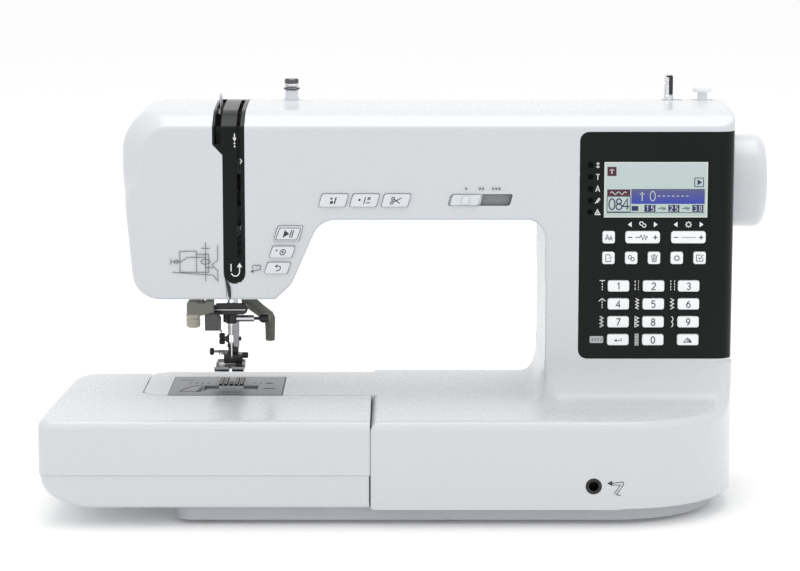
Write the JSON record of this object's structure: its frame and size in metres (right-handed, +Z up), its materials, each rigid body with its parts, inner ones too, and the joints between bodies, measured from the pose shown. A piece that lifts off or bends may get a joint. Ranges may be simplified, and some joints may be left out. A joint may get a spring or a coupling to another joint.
{
  "type": "sewing machine",
  "caption": "Computerised free-arm sewing machine with slide-off extension table and accessory tray, display and keypad, handwheel, needle, presser foot and rotary hook.",
  "frame": {"origin": "middle of the machine's overall width and depth, at the level the rubber feet stand on", "axes": "+X along the machine towards the handwheel, +Y from the operator towards the back, +Z up"},
  "size_m": [0.485, 0.18, 0.2832],
  "materials": {
    "white_plastic": "smooth moulded",
    "black_plastic": "dark moulded",
    "grey_plastic": "fine grain",
    "key_plastic": "fine grain",
    "button_plastic": "smooth moulded",
    "beige_plastic": "fine grain",
    "display_glass": "lit panel behind a window",
    "clear_plastic": "translucent",
    "steel": "brushed",
    "chrome": "polished plating",
    "cast_frame": "as cast",
    "motor_enamel": "black enamel",
    "board": "solder mask",
    "rubber": "moulded"
  },
  "bodies": {
    "chassis": {"main_frame": "cast_frame", "front_cover": "white_plastic", "rear_cover": "white_plastic", "face_cover": "white_plastic", "thread_guide_cover": "black_plastic", "control_panel": "black_plastic", "display": "display_glass", "base_plate": "grey_plastic", "rubber_feet": "rubber", "needle_plate": "steel", "drive_motor": "motor_enamel", "drive_belts": "rubber", "circuit_boards": "board", "sockets": "black_plastic", "thread_fittings": "chrome", "bobbin_case": "black_plastic"},
    "handwheel": {"handwheel": "white_plastic", "main_shaft": "steel"},
    "lower_shaft": {"lower_shaft": "steel"},
    "rotary_hook": {"rotary_hook": "chrome"},
    "bobbin": {"bobbin": "clear_plastic"},
    "take_up_lever": {"take_up_lever": "chrome"},
    "needle_bar": {"needle_bar": "chrome", "needle": "chrome"},
    "presser_bar": {"presser_bar": "chrome", "presser_foot": "chrome"},
    "presser_lifter": {"presser_lifter": "grey_plastic"},
    "needle_threader": {"needle_threader": "beige_plastic"},
    "winder_spindle": {"winder_spindle": "chrome"},
    "bobbin_cover": {"bobbin_cover": "clear_plastic"},
    "feed_dog": {"feed_dog": "steel"},
    "extension_table": {"extension_table": "white_plastic"},
    "accessory_tray": {"accessory_tray": "white_plastic"},
    "key_1": {"key_1": "key_plastic"},
    "key_2": {"key_2": "key_plastic"},
    "key_3": {"key_3": "key_plastic"},
    "key_4": {"key_4": "key_plastic"},
    "key_5": {"key_5": "key_plastic"},
    "key_6": {"key_6": "key_plastic"},
    "key_7": {"key_7": "key_plastic"},
    "key_8": {"key_8": "key_plastic"},
    "key_9": {"key_9": "key_plastic"},
    "key_0": {"key_0": "key_plastic"},
    "key_return": {"key_return": "key_plastic"},
    "key_mirror": {"key_mirror": "key_plastic"},
    "key_font": {"key_font": "key_plastic"},
    "key_edit": {"key_edit": "key_plastic"},
    "key_link": {"key_link": "key_plastic"},
    "key_delete": {"key_delete": "key_plastic"},
    "key_setting": {"key_setting": "key_plastic"},
    "key_confirm": {"key_confirm": "key_plastic"},
    "rocker_width": {"rocker_width": "key_plastic"},
    "rocker_length": {"rocker_length": "key_plastic"},
    "start_stop_button": {"start_stop_button": "button_plastic"},
    "needle_button": {"needle_button": "button_plastic"},
    "reverse_button": {"reverse_button": "button_plastic"},
    "slow_button": {"slow_button": "button_plastic"},
    "tie_off_button": {"tie_off_button": "button_plastic"},
    "cutter_button": {"cutter_button": "button_plastic"},
    "speed_slider": {"speed_slider": "clear_plastic"}
  },
  "joints": [
    {"name": "handwheel_turn", "type": "hinge", "parent": "chassis", "child": "handwheel", "pos_m": [0, 0.043, 0.2107], "axis": [1, 0, 0], "continuous": true},
    {"name": "lower_shaft_turn", "type": "hinge", "parent": "chassis", "child": "lower_shaft", "pos_m": [0, 0.024, 0.036], "axis": [1, 0, 0], "continuous": true},
    {"name": "rotary_hook_turn", "type": "hinge", "parent": "chassis", "child": "rotary_hook", "pos_m": [-0.1219, 0.024, 0.05], "axis": [0, 0, 1], "continuous": true},
    {"name": "bobbin_turn", "type": "hinge", "parent": "chassis", "child": "bobbin", "pos_m": [-0.1219, 0.024, 0.057], "axis": [0, 0, 1], "continuous": true},
    {"name": "take_up_swing", "type": "hinge", "parent": "chassis", "child": "take_up_lever", "pos_m": [-0.1315, 0.054, 0.222], "axis": [1, 0, 0], "range_deg": [0, 45]},
    {"name": "needle_bar_stroke", "type": "slide", "parent": "chassis", "child": "needle_bar", "axis": [0, 0, -1], "range_m": [0, 0.029]},
    {"name": "presser_lifter_swing", "type": "hinge", "parent": "chassis", "child": "presser_lifter", "pos_m": [-0.114, 0.0674, 0.157], "axis": [0, 1, 0], "range_deg": [0, 25]},
    {"name": "presser_bar_lower", "type": "slide", "parent": "chassis", "child": "presser_bar", "axis": [0, 0, -1], "range_m": [0, 0.008]},
    {"name": "needle_threader_lower", "type": "slide", "parent": "chassis", "child": "needle_threader", "axis": [0, 0, -1], "range_m": [0, 0.016], "stiffness_N_per_m": 60},
    {"name": "winder_spindle_engage", "type": "slide", "parent": "chassis", "child": "winder_spindle", "axis": [1, 0, 0], "range_m": [0, 0.005]},
    {"name": "bobbin_cover_slide", "type": "slide", "parent": "chassis", "child": "bobbin_cover", "axis": [0, -1, 0], "range_m": [0, 0.01]},
    {"name": "feed_dog_feed", "type": "slide", "parent": "chassis", "child": "feed_dog", "axis": [0, 1, 0], "range_m": [-0.0025, 0.0025]},
    {"name": "extension_table_slide", "type": "slide", "parent": "chassis", "child": "extension_table", "axis": [-1, 0, 0], "range_m": [0, 0.16]},
    {"name": "accessory_tray_slide", "type": "slide", "parent": "extension_table", "child": "accessory_tray", "axis": [0, -1, 0], "range_m": [0, 0.08]},
    {"name": "key_1_press", "type": "slide", "parent": "chassis", "child": "key_1", "axis": [0, 1, 0], "range_m": [0, 0.001], "stiffness_N_per_m": 800},
    {"name": "key_2_press", "type": "slide", "parent": "chassis", "child": "key_2", "axis": [0, 1, 0], "range_m": [0, 0.001], "stiffness_N_per_m": 800},
    {"name": "key_3_press", "type": "slide", "parent": "chassis", "child": "key_3", "axis": [0, 1, 0], "range_m": [0, 0.001], "stiffness_N_per_m": 800},
    {"name": "key_4_press", "type": "slide", "parent": "chassis", "child": "key_4", "axis": [0, 1, 0], "range_m": [0, 0.001], "stiffness_N_per_m": 800},
    {"name": "key_5_press", "type": "slide", "parent": "chassis", "child": "key_5", "axis": [0, 1, 0], "range_m": [0, 0.001], "stiffness_N_per_m": 800},
    {"name": "key_6_press", "type": "slide", "parent": "chassis", "child": "key_6", "axis": [0, 1, 0], "range_m": [0, 0.001], "stiffness_N_per_m": 800},
    {"name": "key_7_press", "type": "slide", "parent": "chassis", "child": "key_7", "axis": [0, 1, 0], "range_m": [0, 0.001], "stiffness_N_per_m": 800},
    {"name": "key_8_press", "type": "slide", "parent": "chassis", "child": "key_8", "axis": [0, 1, 0], "range_m": [0, 0.001], "stiffness_N_per_m": 800},
    {"name": "key_9_press", "type": "slide", "parent": "chassis", "child": "key_9", "axis": [0, 1, 0], "range_m": [0, 0.001], "stiffness_N_per_m": 800},
    {"name": "key_0_press", "type": "slide", "parent": "chassis", "child": "key_0", "axis": [0, 1, 0], "range_m": [0, 0.001], "stiffness_N_per_m": 800},
    {"name": "key_return_press", "type": "slide", "parent": "chassis", "child": "key_return", "axis": [0, 1, 0], "range_m": [0, 0.001], "stiffness_N_per_m": 800},
    {"name": "key_mirror_press", "type": "slide", "parent": "chassis", "child": "key_mirror", "axis": [0, 1, 0], "range_m": [0, 0.001], "stiffness_N_per_m": 800},
    {"name": "key_font_press", "type": "slide", "parent": "chassis", "child": "key_font", "axis": [0, 1, 0], "range_m": [0, 0.001], "stiffness_N_per_m": 800},
    {"name": "key_edit_press", "type": "slide", "parent": "chassis", "child": "key_edit", "axis": [0, 1, 0], "range_m": [0, 0.001], "stiffness_N_per_m": 800},
    {"name": "key_link_press", "type": "slide", "parent": "chassis", "child": "key_link", "axis": [0, 1, 0], "range_m": [0, 0.001], "stiffness_N_per_m": 800},
    {"name": "key_delete_press", "type": "slide", "parent": "chassis", "child": "key_delete", "axis": [0, 1, 0], "range_m": [0, 0.001], "stiffness_N_per_m": 800},
    {"name": "key_setting_press", "type": "slide", "parent": "chassis", "child": "key_setting", "axis": [0, 1, 0], "range_m": [0, 0.001], "stiffness_N_per_m": 800},
    {"name": "key_confirm_press", "type": "slide", "parent": "chassis", "child": "key_confirm", "axis": [0, 1, 0], "range_m": [0, 0.001], "stiffness_N_per_m": 800},
    {"name": "rocker_width_tilt", "type": "hinge", "parent": "chassis", "child": "rocker_width", "pos_m": [0.1546, -0.0238, 0.1815], "axis": [0, 0, 1], "range_deg": [-3, 3], "stiffness_Nm_per_rad": 0.4},
    {"name": "rocker_length_tilt", "type": "hinge", "parent": "chassis", "child": "rocker_length", "pos_m": [0.1848, -0.0238, 0.1815], "axis": [0, 0, 1], "range_deg": [-3, 3], "stiffness_Nm_per_rad": 0.4},
    {"name": "start_stop_button_press", "type": "slide", "parent": "chassis", "child": "start_stop_button", "axis": [0, 1, 0], "range_m": [0, 0.001], "stiffness_N_per_m": 800},
    {"name": "needle_button_press", "type": "slide", "parent": "chassis", "child": "needle_button", "axis": [0, 1, 0], "range_m": [0, 0.001], "stiffness_N_per_m": 800},
    {"name": "reverse_button_press", "type": "slide", "parent": "chassis", "child": "reverse_button", "axis": [0, 1, 0], "range_m": [0, 0.001], "stiffness_N_per_m": 800},
    {"name": "slow_button_press", "type": "slide", "parent": "chassis", "child": "slow_button", "axis": [0, 1, 0], "range_m": [0, 0.001], "stiffness_N_per_m": 800},
    {"name": "tie_off_button_press", "type": "slide", "parent": "chassis", "child": "tie_off_button", "axis": [0, 1, 0], "range_m": [0, 0.001], "stiffness_N_per_m": 800},
    {"name": "cutter_button_press", "type": "slide", "parent": "chassis", "child": "cutter_button", "axis": [0, 1, 0], "range_m": [0, 0.001], "stiffness_N_per_m": 800},
    {"name": "speed_slider_move", "type": "slide", "parent": "chassis", "child": "speed_slider", "axis": [1, 0, 0], "range_m": [0, 0.019]}
  ],
  "couplings": [
    {"joint": "lower_shaft_turn", "follows": "handwheel_turn", "ratio": 2},
    {"joint": "rotary_hook_turn", "follows": "handwheel_turn", "ratio": -2},
    {"joint": "presser_lifter_swing", "follows": "presser_bar_lower", "rad_per_m": 54.541}
  ]
}
